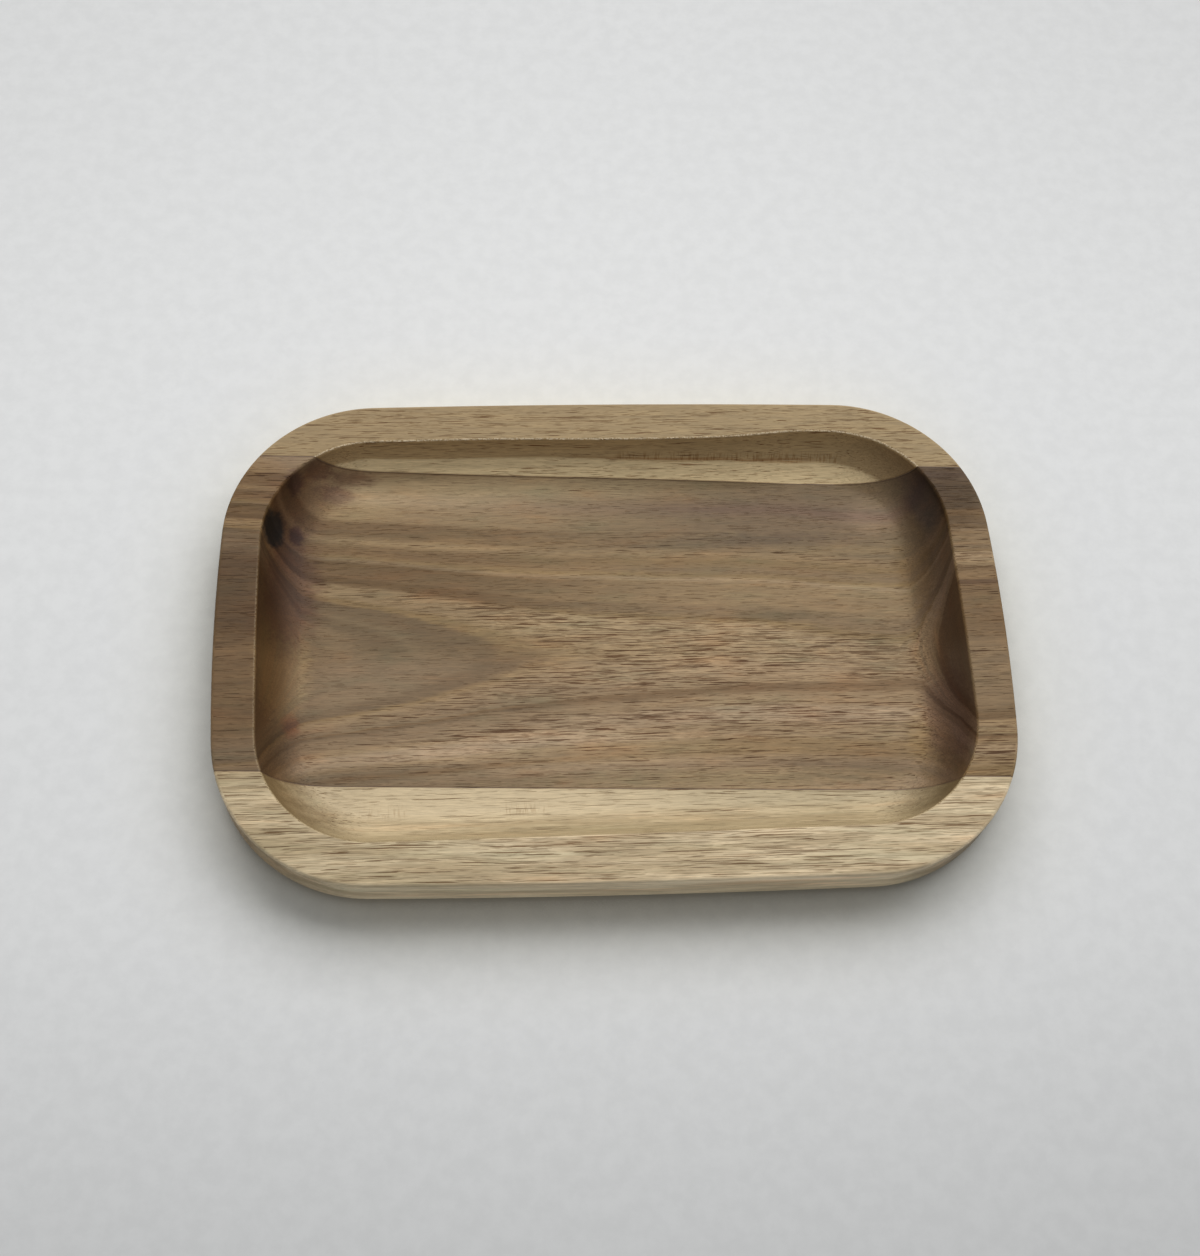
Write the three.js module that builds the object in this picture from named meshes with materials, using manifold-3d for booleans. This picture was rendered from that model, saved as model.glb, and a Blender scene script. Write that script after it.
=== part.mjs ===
// Wooden serving tray: three staves glued edge to edge, with bowed sides and a coved recess in the top.
// Millimetres. X runs along the tray, Y to its rear, Z up, and the origin is the centre of the underside.

import * as THREE from 'three';
import { mergeVertices, toCreasedNormals } from 'three/addons/utils/BufferGeometryUtils.js';
import Module from 'manifold-3d';

// Outside of the tray
const TRAY_LENGTH = 250;
const TRAY_WIDTH = 165;
const TRAY_HEIGHT = 19;
const CORNER_RADIUS = 48.5;
const END_BOW = 5.3;
const SIDE_BOW = 2;
const BASE_ROUND_OVER = 6.5;
const RIM_ROUND_OVER = 1.5;

// Rim widths at the middle of each edge
const END_RIM = 13;
const REAR_RIM = 12.8;
const FRONT_RIM = 15.2;

// Recess, which was routed slightly out of square with the outside
const FLOOR_THICKNESS = 5.5;
const RECESS_CORNER_RADIUS = 36;
const RECESS_END_BOW = 1.8;
const RECESS_SIDE_BOW = 0.3;
const RECESS_TURN = THREE.MathUtils.degToRad(0.8);
const WALL_DRAFT = THREE.MathUtils.degToRad(19);
const LIP_ROUND_OVER = 0.7;
const COVE_RADIUS = 19.5;
const COVE_END_SLOPE = THREE.MathUtils.degToRad(18);

// The floor is sanded very slightly hollow along its edge
const HOLLOW_RISE = 0.4;
const HOLLOW_RUN = 7;

// Staves, whose joints run slightly askew to the outside
const REAR_STAVE_WIDTH = 22.3;
const FRONT_STAVE_WIDTH = 34.1;
const STAVE_SKEW = THREE.MathUtils.degToRad(-1.65);
const GLUE_THICKNESS = 0.15;
const GLUE_CLEARANCE = 0.05;

// How finely the curves are divided
const CORNER_STEPS = 16;
const BOW_STEPS = 10;
const ROUND_STEPS = 5;
const COVE_STEPS = 9;
const HOLLOW_STEPS = 3;

const wasm = await Module();
wasm.setup();

// Radius of the arc that rises by bow over a half chord
function bowRadius(halfChord, bow) {
  return (halfChord ** 2 + bow ** 2) / (2 * bow);
}

// The eight arcs of a rounded rectangle with bowed edges, each tangent to the next
function bowedOutline({ length, width, cornerRadius, endBow, sideBow }) {
  const endRadius = bowRadius(width / 2, endBow);
  const sideRadius = bowRadius(length / 2, sideBow);
  const endCentre = new THREE.Vector2(length / 2 - endRadius, 0);
  const sideCentre = new THREE.Vector2(0, width / 2 - sideRadius);

  // The corner arc touches both bows from inside, so its centre is fixed by its distances to theirs
  const fromEnd = endRadius - cornerRadius;
  const fromSide = sideRadius - cornerRadius;
  const towards = sideCentre.clone().sub(endCentre);
  const span = towards.length();
  towards.normalize();
  const sideways = new THREE.Vector2(-towards.y, towards.x);
  const along = (fromEnd ** 2 - fromSide ** 2 + span ** 2) / (2 * span);
  const across = Math.sqrt(fromEnd ** 2 - along ** 2);
  const corner = endCentre.clone().addScaledVector(towards, along).addScaledVector(sideways, across);
  const endAngle = corner.clone().sub(endCentre).angle();
  const sideAngle = corner.clone().sub(sideCentre).angle();

  const arcs = [];
  const addArc = (x, y, radius, from, to, steps) => arcs.push({ x, y, radius, from, to, steps });
  for (const way of [1, -1]) {
    const start = way === 1 ? 0 : Math.PI;
    const half = start + Math.PI;
    addArc(way * endCentre.x, 0, endRadius, start - endAngle, start + endAngle, BOW_STEPS);
    addArc(way * corner.x, way * corner.y, cornerRadius, start + endAngle, start + sideAngle, CORNER_STEPS);
    addArc(0, way * sideCentre.y, sideRadius, start + sideAngle, half - sideAngle, BOW_STEPS);
    addArc(-way * corner.x, way * corner.y, cornerRadius, half - sideAngle, half - endAngle, CORNER_STEPS);
  }
  return arcs;
}

// Points of an outline drawn in by an inset, at one height
function ring(outline, { inset, z }) {
  return outline.flatMap(({ x, y, radius, from, to, steps }) => {
    const arc = new THREE.EllipseCurve(x, y, radius - inset, radius - inset, from, to);
    return arc.getPoints(steps).slice(0, -1).map((point) => new THREE.Vector3(point.x, point.y, z));
  });
}

// A closed body through the rings of a profile, listed from the bottom up
function loft(outline, profile) {
  const rings = profile.map((station) => ring(outline, station));
  const count = rings[0].length;
  const positions = rings.flat().flatMap((point) => point.toArray());
  const index = [];
  for (let level = 0; level < rings.length - 1; level++) {
    for (let i = 0; i < count; i++) {
      const here = level * count + i;
      const next = level * count + ((i + 1) % count);
      index.push(here, next, next + count, here, next + count, here + count);
    }
  }
  const bottomCentre = rings.length * count;
  const topCentre = bottomCentre + 1;
  const topRing = (rings.length - 1) * count;
  positions.push(0, 0, profile[0].z, 0, 0, profile.at(-1).z);
  for (let i = 0; i < count; i++) {
    const next = (i + 1) % count;
    index.push(bottomCentre, next, i, topCentre, topRing + i, topRing + next);
  }
  const geometry = new THREE.BufferGeometry();
  geometry.setAttribute('position', new THREE.Float32BufferAttribute(positions, 3));
  geometry.setIndex(index);
  return geometry;
}

// Even steps from one value to another, both included
function sweep(from, to, steps) {
  return Array.from({ length: steps + 1 }, (_, i) => THREE.MathUtils.lerp(from, to, i / steps));
}

// Solids for joining and cutting
function solidOf(geometry) {
  const bare = geometry.clone();
  bare.deleteAttribute('normal');
  bare.deleteAttribute('uv');
  const merged = mergeVertices(bare);
  return new wasm.Manifold(new wasm.Mesh({
    numProp: 3,
    vertProperties: new Float32Array(merged.attributes.position.array),
    triVerts: new Uint32Array(merged.index.array),
  }));
}

function geometryOf(solid) {
  const { vertProperties, triVerts } = solid.getMesh();
  const geometry = new THREE.BufferGeometry();
  geometry.setAttribute('position', new THREE.BufferAttribute(vertProperties, 3));
  geometry.setIndex(new THREE.BufferAttribute(triVerts, 1));
  return toCreasedNormals(geometry, THREE.MathUtils.degToRad(25));
}

// The panel with its bowed outline, rounded-over base and softened rim
function panelBlank() {
  const outline = bowedOutline({
    length: TRAY_LENGTH,
    width: TRAY_WIDTH,
    cornerRadius: CORNER_RADIUS,
    endBow: END_BOW,
    sideBow: SIDE_BOW,
  });
  const base = sweep(0, Math.PI / 2, ROUND_STEPS).map((angle) => ({
    inset: BASE_ROUND_OVER * (1 - Math.sin(angle)),
    z: BASE_ROUND_OVER * (1 - Math.cos(angle)),
  }));
  const rim = sweep(0, Math.PI / 2, ROUND_STEPS).map((angle) => ({
    inset: RIM_ROUND_OVER * (1 - Math.cos(angle)),
    z: TRAY_HEIGHT - RIM_ROUND_OVER * (1 - Math.sin(angle)),
  }));
  return loft(outline, [...base, ...rim]);
}

// The space of the recess: flat floor, hollowed margin, cove, drafted wall and softened lip, open at the top
function recessSpace() {
  const depth = TRAY_HEIGHT - FLOOR_THICKNESS;
  const outline = bowedOutline({
    length: TRAY_LENGTH - 2 * END_RIM,
    width: TRAY_WIDTH - REAR_RIM - FRONT_RIM,
    cornerRadius: RECESS_CORNER_RADIUS,
    endBow: RECESS_END_BOW,
    sideBow: RECESS_SIDE_BOW,
  });

  // The cove turns from the wall's draft to a slight slope, and is no larger than leaves room for the lip
  const lipFall = LIP_ROUND_OVER * (1 - Math.sin(WALL_DRAFT));
  const coveEnd = Math.PI / 2 - COVE_END_SLOPE;
  const coveShare = Math.sin(coveEnd) - Math.sin(WALL_DRAFT);
  const coveRadius = Math.min(COVE_RADIUS, (depth - HOLLOW_RISE - lipFall) / coveShare);
  const wallDepth = depth - HOLLOW_RISE - coveRadius * coveShare;
  const coveStart = wallDepth * Math.tan(WALL_DRAFT) + coveRadius * Math.cos(WALL_DRAFT);
  const coveTop = TRAY_HEIGHT - wallDepth + coveRadius * Math.sin(WALL_DRAFT);
  const cove = sweep(coveEnd, WALL_DRAFT, COVE_STEPS).map((angle) => ({
    inset: coveStart - coveRadius * Math.cos(angle),
    z: coveTop - coveRadius * Math.sin(angle),
  }));

  const hollow = sweep(1, 0, HOLLOW_STEPS).slice(0, -1).map((share) => ({
    inset: cove[0].inset + HOLLOW_RUN * share,
    z: FLOOR_THICKNESS + HOLLOW_RISE * (1 - share) ** 2,
  }));

  const lipStart = -lipFall / Math.cos(WALL_DRAFT);
  const lip = sweep(WALL_DRAFT, Math.PI / 2, ROUND_STEPS).map((angle) => ({
    inset: lipStart + LIP_ROUND_OVER * Math.cos(angle),
    z: TRAY_HEIGHT - LIP_ROUND_OVER * (1 - Math.sin(angle)),
  }));
  const above = { inset: lipStart, z: TRAY_HEIGHT + depth };
  const space = loft(outline, [...hollow, ...cove, ...lip, above]);
  return space.rotateZ(RECESS_TURN).translate(0, (FRONT_RIM - REAR_RIM) / 2, 0);
}

// A slab between two lines that run along the joints, wide enough to take in the whole panel
function staveSlab(front, rear) {
  const slab = new THREE.BoxGeometry(2 * TRAY_LENGTH, rear - front, 4 * TRAY_HEIGHT);
  return slab.translate(0, (front + rear) / 2, 0).rotateZ(STAVE_SKEW);
}

const tray = solidOf(panelBlank()).subtract(solidOf(recessSpace()));

const rearJoint = TRAY_WIDTH / 2 - REAR_STAVE_WIDTH;
const frontJoint = FRONT_STAVE_WIDTH - TRAY_WIDTH / 2;
const halfGlue = GLUE_THICKNESS / 2;
const halfJoint = halfGlue + GLUE_CLEARANCE;
const beyond = TRAY_WIDTH;

const serving_tray = new THREE.Group();

function addPiece(name, front, rear, material) {
  const geometry = geometryOf(tray.intersect(solidOf(staveSlab(front, rear))));
  const piece = new THREE.Mesh(geometry, new THREE.MeshStandardMaterial(material));
  piece.name = name;
  serving_tray.add(piece);
}

addPiece('rear_stave', rearJoint + halfJoint, beyond,
  { color: 0xa08663, roughness: 0.5, metalness: 0 });
addPiece('centre_stave', frontJoint + halfJoint, rearJoint - halfJoint,
  { color: 0x80664a, roughness: 0.5, metalness: 0 });
addPiece('front_stave', -beyond, frontJoint - halfJoint,
  { color: 0xbfa67c, roughness: 0.5, metalness: 0 });
addPiece('rear_glue_line', rearJoint - halfGlue, rearJoint + halfGlue,
  { color: 0x5a4632, roughness: 0.6, metalness: 0 });
addPiece('front_glue_line', frontJoint - halfGlue, frontJoint + halfGlue,
  { color: 0x5a4632, roughness: 0.6, metalness: 0 });

export default serving_tray;
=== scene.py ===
# Wooden serving tray: three finished staves and the glue films between them, a floor, light and a camera.
# Metres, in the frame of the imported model: X along the tray, Y to its rear, Z up from its underside.

import math

import bmesh
import bpy
from mathutils import Matrix, Vector


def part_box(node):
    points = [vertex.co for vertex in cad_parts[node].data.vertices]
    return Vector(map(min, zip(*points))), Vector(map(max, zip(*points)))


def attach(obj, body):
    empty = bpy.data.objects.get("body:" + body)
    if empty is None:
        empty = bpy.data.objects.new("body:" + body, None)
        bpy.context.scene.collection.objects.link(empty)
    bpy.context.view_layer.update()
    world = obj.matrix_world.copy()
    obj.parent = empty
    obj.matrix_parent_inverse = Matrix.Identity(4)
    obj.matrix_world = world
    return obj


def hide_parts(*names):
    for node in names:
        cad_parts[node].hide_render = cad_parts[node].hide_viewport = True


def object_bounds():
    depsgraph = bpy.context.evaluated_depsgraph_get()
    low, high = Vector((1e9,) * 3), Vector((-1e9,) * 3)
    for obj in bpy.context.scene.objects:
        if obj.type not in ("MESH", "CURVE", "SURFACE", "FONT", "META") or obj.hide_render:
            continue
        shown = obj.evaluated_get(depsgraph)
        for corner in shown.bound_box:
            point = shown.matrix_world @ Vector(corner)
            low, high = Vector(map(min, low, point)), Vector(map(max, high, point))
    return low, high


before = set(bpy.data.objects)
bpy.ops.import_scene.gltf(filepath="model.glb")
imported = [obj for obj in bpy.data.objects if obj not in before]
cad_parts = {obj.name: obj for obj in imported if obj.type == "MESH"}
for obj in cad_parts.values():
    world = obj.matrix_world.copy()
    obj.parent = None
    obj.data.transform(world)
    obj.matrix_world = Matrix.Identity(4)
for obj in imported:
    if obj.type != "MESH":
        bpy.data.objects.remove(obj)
cad_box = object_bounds()

MM = 0.001
QUARTER_TURN = math.pi / 2

# Outside of the tray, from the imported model
cad_low, cad_high = cad_box
TRAY_LENGTH = cad_high.x - cad_low.x
TRAY_WIDTH = cad_high.y - cad_low.y
TRAY_HEIGHT = cad_high.z - cad_low.z
CORNER_RADIUS = 48.5 * MM
END_BOW = 5.3 * MM
SIDE_BOW = 2 * MM
BASE_ROUND_OVER = 6.5 * MM
RIM_ROUND_OVER = 1 * MM

# Recess, routed slightly out of square with the outside
END_RIM = 13 * MM
REAR_RIM = 12.8 * MM
FRONT_RIM = 15.2 * MM
FLOOR_THICKNESS = 5.5 * MM
RECESS_DEPTH = TRAY_HEIGHT - FLOOR_THICKNESS
RECESS_CORNER_RADIUS = 36 * MM
RECESS_END_BOW = 1.8 * MM
RECESS_SIDE_BOW = 0.3 * MM
RECESS_TURN = math.radians(0.8)
RECESS_SHIFT = (FRONT_RIM - REAR_RIM) / 2
WALL_DRAFT = math.radians(19)
LIP_ROUND_OVER = 0.7 * MM
COVE_RADIUS = 19.5 * MM
COVE_END_SLOPE = math.radians(18)
HOLLOW_RISE = 0.4 * MM
HOLLOW_RUN = 7 * MM

# Where the cutter wandered on the rear edge: the middle of each wander, its reach and its depth outwards
REAR_WANDERS = [
    (65 * MM, 24 * MM, 1.0 * MM),
    (18 * MM, 64 * MM, -1.05 * MM),
]

# Torn fibres along the lip, from where they begin towards the rear to where they are full
TEAR_REACH = 0.9 * MM
TEAR_LENGTH = 0.9 * MM
TEAR_BEGINS = 36 * MM
TEAR_FULL = 52 * MM
TEAR_SEED = 4

# How finely the paths and the rounded parts of the sections are divided
OUTSIDE_SPACING = 2.4 * MM
RECESS_SPACING = 0.6 * MM
RIM_STEPS = 7
BASE_STEPS = 13
LIP_STEPS = 7
COVE_STEPS = 19
HOLLOW_STEPS = 6

# Glue films, and the flat strips that keep the flat faces from shading round
GLUE_THICKNESS = 0.15 * MM
FLAT_STRIP = 0.6 * MM
WELD_DISTANCE = FLAT_STRIP / 50
SAME_HEIGHT = FLAT_STRIP / 4

# How sharply the mark of the crease fades, up the cove and out over the hollow
CREASE_UP_COVE = 8
CREASE_OVER_HOLLOW = 2

# Camera, at the angle of the photograph
VIEW_AZIMUTH = math.radians(-8.883)
VIEW_ELEVATION = math.radians(65.317)
VIEW_ROLL = math.radians(7.234)
VIEW_DISTANCE = 555.8 * MM
VIEW_TARGET = Vector((-4.7 * MM, 0.2 * MM, TRAY_HEIGHT))
VIEW_LENS = 50.67
SENSOR_WIDTH = 36
VIEW_NEAREST = 10 * MM

# The paper under the tray, the window and the room
PAPER_HALF = 1.5
PAPER_GAP = 0.1 * MM
WINDOW_PLACE = Vector((0.2, 0.73, 0.98))
WINDOW_AIM = Vector((0, 0, 0))
WINDOW_WIDTH = 1.9
WINDOW_HEIGHT = 0.9
WINDOW_POWER = 17
ROOM_TINT = (0.95, 0.98, 1)
ROOM_BRIGHTNESS = 0.3


# Helpers that add nodes to a tree and link or set their sockets

def wire(tree, socket, value):
    """Link a socket to another one, or set its value."""
    if isinstance(value, bpy.types.NodeSocket):
        tree.links.new(value, socket)
    else:
        socket.default_value = value


def add(tree, kind, sockets=None, **settings):
    """A new node with its settings, and its input sockets by name or place."""
    node = tree.nodes.new(kind)
    for name, value in settings.items():
        setattr(node, name, value)
    for name, value in (sockets or {}).items():
        wire(tree, node.inputs[name], value)
    return node


def calc(tree, operation, *values, clamp=False):
    """The result of one sum on numbers."""
    sockets = dict(enumerate(values))
    return add(tree, "ShaderNodeMath", sockets, operation=operation, use_clamp=clamp).outputs[0]


def vector_calc(tree, operation, *values):
    """The result of one sum on vectors."""
    sockets = dict(enumerate(values))
    return add(tree, "ShaderNodeVectorMath", sockets, operation=operation).outputs[0]


def product(tree, *values):
    result = values[0]
    for value in values[1:]:
        result = calc(tree, "MULTIPLY", result, value)
    return result


def axes(tree, vector):
    return add(tree, "ShaderNodeSeparateXYZ", {0: vector}).outputs


def vector(tree, along=0, across=0, up=0):
    return add(tree, "ShaderNodeCombineXYZ", {"X": along, "Y": across, "Z": up}).outputs[0]


def group_socket(tree, name, kind, value=None, way="INPUT"):
    """A named socket on a node group."""
    socket = tree.interface.new_socket(name=name, in_out=way, socket_type="NodeSocket" + kind)
    if value is not None:
        socket.default_value = value
    return socket


# The paths that the cutter followed

def bow_radius(half_chord, bow):
    """Radius of the arc that rises by bow over a half chord."""
    return (half_chord ** 2 + bow ** 2) / (2 * bow)


def arc_points(centre, radius, start, end, spacing):
    """Points along an arc, without its last one."""
    steps = round(radius * abs(end - start) / spacing)
    for step in range(steps):
        angle = start + (end - start) * step / steps
        yield centre + radius * Vector((math.cos(angle), math.sin(angle)))


def bowed_outline(length, width, corner_radius, end_bow, side_bow, spacing):
    """Points anticlockwise round a rectangle with bowed edges, each arc tangent to the next."""
    end_radius = bow_radius(width / 2, end_bow)
    side_radius = bow_radius(length / 2, side_bow)
    end_centre = Vector((length / 2 - end_radius, 0))
    side_centre = Vector((0, width / 2 - side_radius))

    # The corner arc touches both bows from inside, so its centre is fixed by its distances to theirs
    from_end = end_radius - corner_radius
    from_side = side_radius - corner_radius
    span = side_centre - end_centre
    towards = span.normalized()
    sideways = Vector((-towards.y, towards.x))
    along = (from_end ** 2 - from_side ** 2 + span.length_squared) / (2 * span.length)
    across = math.sqrt(from_end ** 2 - along ** 2)
    corner = end_centre + towards * along + sideways * across
    end_angle = math.atan2(*(corner - end_centre).yx)
    side_angle = math.atan2(*(corner - side_centre).yx)

    points = []
    for way, start in ((1, 0), (-1, math.pi)):
        half = start + math.pi
        mirrored = Vector((-corner.x, corner.y))
        points += arc_points(way * end_centre, end_radius, start - end_angle, start + end_angle, spacing)
        points += arc_points(way * corner, corner_radius, start + end_angle, start + side_angle, spacing)
        points += arc_points(way * side_centre, side_radius, start + side_angle, half - side_angle, spacing)
        points += arc_points(way * mirrored, corner_radius, half - side_angle, half - end_angle, spacing)
    return points


def outside_path():
    return bowed_outline(TRAY_LENGTH, TRAY_WIDTH, CORNER_RADIUS, END_BOW, SIDE_BOW, OUTSIDE_SPACING)


def recess_path():
    """The top edge of the recess, turned, moved back and with the wanders on its rear edge."""
    outline = bowed_outline(
        TRAY_LENGTH - 2 * END_RIM,
        TRAY_WIDTH - REAR_RIM - FRONT_RIM,
        RECESS_CORNER_RADIUS,
        RECESS_END_BOW,
        RECESS_SIDE_BOW,
        RECESS_SPACING,
    )
    turn = Matrix.Rotation(RECESS_TURN, 2)
    points = []
    for point in outline:
        for middle, reach, outwards in REAR_WANDERS:
            offset = (point.x - middle) / reach
            if point.y > 0 and abs(offset) < 1:
                point.y += outwards * math.cos(offset * math.pi / 2) ** 2
        points.append(turn @ point + Vector((0, RECESS_SHIFT)))
    return points


def path_object(name, *paths):
    """A curve object with one closed clockwise line for each path, at the height of the rim."""
    curve = bpy.data.curves.new(name, "CURVE")
    curve.dimensions = "3D"
    for path in paths:
        spline = curve.splines.new("POLY")
        spline.points.add(len(path) - 1)
        for place, point in zip(spline.points, reversed(path)):
            place.co = (point.x, point.y, TRAY_HEIGHT, 1)
        spline.use_cyclic_u = True
    piece = bpy.data.objects.new(name, curve)
    bpy.context.scene.collection.objects.link(piece)
    return piece


# The sections that are swept along the paths, in (inset, depth below the rim)

def recess_section():
    """Where the parts of the recess wall begin and end, from the lip to the floor."""
    lip_fall = LIP_ROUND_OVER * (1 - math.sin(WALL_DRAFT))
    cove_end = QUARTER_TURN - COVE_END_SLOPE
    cove_share = math.sin(cove_end) - math.sin(WALL_DRAFT)
    cove_radius = min(COVE_RADIUS, (RECESS_DEPTH - HOLLOW_RISE - lip_fall) / cove_share)
    wall_depth = RECESS_DEPTH - HOLLOW_RISE - cove_radius * cove_share
    cove_inset = wall_depth * math.tan(WALL_DRAFT) + cove_radius * math.cos(WALL_DRAFT)
    crease = Vector((cove_inset - cove_radius * math.cos(cove_end), RECESS_DEPTH - HOLLOW_RISE, 0))
    lip_start = Vector((-lip_fall / math.cos(WALL_DRAFT), 0, 0))
    lip_centre = lip_start + Vector((0, LIP_ROUND_OVER, 0))
    lip_end = lip_centre + LIP_ROUND_OVER * Vector((math.cos(WALL_DRAFT), -math.sin(WALL_DRAFT), 0))
    return {
        "Lip Start": lip_start,
        "Lip Centre": lip_centre,
        "Lip Radius": LIP_ROUND_OVER,
        "Lip Sweep": QUARTER_TURN - WALL_DRAFT,
        "Wall Top": lip_end,
        "Wall Foot": Vector((wall_depth * math.tan(WALL_DRAFT), wall_depth, 0)),
        "Cove Centre": Vector((cove_inset, wall_depth - cove_radius * math.sin(WALL_DRAFT), 0)),
        "Cove Radius": cove_radius,
        "Cove Start": math.pi - WALL_DRAFT,
        "Cove Sweep": WALL_DRAFT - cove_end,
        "Crease": crease,
        "Hollow Middle": crease + Vector((HOLLOW_RUN / 2, HOLLOW_RISE, 0)),
        "Hollow End": crease + Vector((HOLLOW_RUN, HOLLOW_RISE, 0)),
    }


def outside_section():
    """Where the parts of the outside begin and end, from the rim to the base."""
    return {
        "Rim Edge": Vector((RIM_ROUND_OVER, 0, 0)),
        "Rim Centre": Vector((RIM_ROUND_OVER, RIM_ROUND_OVER, 0)),
        "Rim Radius": RIM_ROUND_OVER,
        "Side Top": Vector((0, RIM_ROUND_OVER, 0)),
        "Side Foot": Vector((0, TRAY_HEIGHT - BASE_ROUND_OVER, 0)),
        "Base Centre": Vector((BASE_ROUND_OVER, TRAY_HEIGHT - BASE_ROUND_OVER, 0)),
        "Base Radius": BASE_ROUND_OVER,
        "Base Edge": Vector((BASE_ROUND_OVER, TRAY_HEIGHT, 0)),
    }


# The routed panel, as a Geometry Nodes tree that sweeps the sections and fills the flats

def section_arc(tree, centre, radius, start, sweep, steps):
    arc = add(tree, "GeometryNodeCurveArc", {
        "Resolution": steps,
        "Radius": radius,
        "Start Angle": start,
        "Sweep Angle": sweep,
    }, mode="RADIUS")
    return add(tree, "GeometryNodeTransform", {"Geometry": arc.outputs[0], "Translation": centre}).outputs[0]


def section_line(tree, start, end):
    return add(tree, "GeometryNodeCurvePrimitiveLine", {"Start": start, "End": end}).outputs[0]


def section_strip(tree, start, inwards):
    """A short flat strip beside a rounded part, inwards or outwards from its start."""
    end = vector_calc(tree, "ADD", start, (inwards * FLAT_STRIP, 0, 0))
    return section_line(tree, start, end)


def joined(tree, *parts):
    node = add(tree, "GeometryNodeJoinGeometry")
    for part in parts:
        tree.links.new(part, node.inputs[0])
    return node.outputs[0]


def marked(tree, geometry, name, value):
    """Geometry with a named mark on its points, for the finish to read."""
    return add(tree, "GeometryNodeStoreNamedAttribute", {
        "Geometry": geometry,
        "Name": name,
        "Value": value,
    }, data_type="FLOAT", domain="POINT").outputs[0]


def welded(tree, geometry):
    """Geometry with the points that fall together made one."""
    return add(tree, "GeometryNodeMergeByDistance", {
        "Geometry": geometry,
        "Distance": WELD_DISTANCE,
    }).outputs[0]


def swept(tree, path, section):
    return add(tree, "GeometryNodeCurveToMesh", {"Curve": path, "Profile Curve": section}).outputs[0]


def along_part(tree):
    """How far along a part of a section a point lies, how far is left, and a swell in the middle of it."""
    share = add(tree, "GeometryNodeSplineParameter").outputs["Factor"]
    left = calc(tree, "SUBTRACT", 1, share)
    swell = calc(tree, "SINE", product(tree, share, math.pi))
    return share, left, swell


def outside_profile(tree, given):
    """The section of the outside, from the rim to the base, with its marks."""
    share, left, swell = along_part(tree)
    rim_arc = section_arc(
        tree, given["Rim Centre"], given["Rim Radius"], -QUARTER_TURN, -QUARTER_TURN, RIM_STEPS)
    base_arc = section_arc(
        tree, given["Base Centre"], given["Base Radius"], 2 * QUARTER_TURN, -QUARTER_TURN, BASE_STEPS)
    return joined(
        tree,
        section_strip(tree, given["Rim Edge"], 1),
        marked(tree, marked(tree, rim_arc, "worn", swell), "outside", share),
        marked(tree, section_line(tree, given["Side Top"], given["Side Foot"]), "outside", 1),
        marked(tree, base_arc, "outside", left),
        section_strip(tree, given["Base Edge"], 1),
    )


def recess_profile(tree, given):
    """The section of the recess, from the lip to the floor, with its marks."""
    share, left, swell = along_part(tree)
    lip_arc = section_arc(
        tree, given["Lip Centre"], given["Lip Radius"], -QUARTER_TURN, given["Lip Sweep"], LIP_STEPS)
    lip_arc = marked(tree, lip_arc, "lip", swell)
    wall = section_line(tree, given["Wall Top"], given["Wall Foot"])
    cove = section_arc(
        tree, given["Cove Centre"], given["Cove Radius"],
        given["Cove Start"], given["Cove Sweep"], COVE_STEPS)
    cove = marked(tree, cove, "crease", calc(tree, "POWER", share, CREASE_UP_COVE))
    hollow = add(tree, "GeometryNodeCurveQuadraticBezier", {
        "Resolution": HOLLOW_STEPS,
        "Start": given["Crease"],
        "Middle": given["Hollow Middle"],
        "End": given["Hollow End"],
    }).outputs[0]
    return joined(
        tree,
        section_strip(tree, given["Lip Start"], -1),
        marked(tree, lip_arc, "wall", share),
        marked(tree, wall, "wall", 1),
        marked(tree, cove, "wall", left),
        marked(tree, hollow, "crease", calc(tree, "POWER", left, CREASE_OVER_HOLLOW)),
        section_strip(tree, given["Hollow End"], 1),
    )


def filled_flat(tree, loops, height):
    """The flat face inside the loops that lie at one height."""
    position = add(tree, "GeometryNodeInputPosition").outputs[0]
    loop_height = axes(tree, position)["Z"]
    off = calc(tree, "ABSOLUTE", calc(tree, "SUBTRACT", loop_height, height))
    here = calc(tree, "LESS_THAN", off, SAME_HEIGHT)
    chosen = add(tree, "GeometryNodeSeparateGeometry", {
        "Geometry": loops,
        "Selection": here,
    }, domain="CURVE")
    face = add(tree, "GeometryNodeFillCurve", {"Curve": chosen.outputs["Selection"]}, mode="TRIANGLES")
    lift = vector(tree, up=height)
    return add(tree, "GeometryNodeTransform", {"Geometry": face.outputs[0], "Translation": lift}).outputs[0]


def torn_lip(tree, panel, given):
    """The panel with its lip pushed about by torn fibres, towards the rear."""
    place = add(tree, "GeometryNodeInputPosition").outputs[0]
    rear = add(tree, "ShaderNodeMapRange", {
        "Value": axes(tree, place)["Y"],
        "From Min": given["Tear Begins"],
        "From Max": given["Tear Full"],
    }).outputs[0]
    lip = add(tree, "GeometryNodeInputNamedAttribute", {"Name": "lip"}, data_type="FLOAT").outputs[0]
    tear = add(tree, "ShaderNodeTexNoise", {
        "Vector": place,
        "W": given["Tear Seed"],
        "Scale": calc(tree, "DIVIDE", 1, given["Tear Length"]),
        "Detail": 2,
    }, noise_dimensions="4D").outputs["Color"]
    push = vector_calc(tree, "SUBTRACT", tear, (0.5, 0.5, 0.5))
    reach = product(tree, rear, lip, given["Tear Reach"])
    push = add(tree, "ShaderNodeVectorMath", {0: push, "Scale": reach}, operation="SCALE").outputs[0]
    return add(tree, "GeometryNodeSetPosition", {"Geometry": panel, "Offset": push}).outputs[0]


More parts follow.
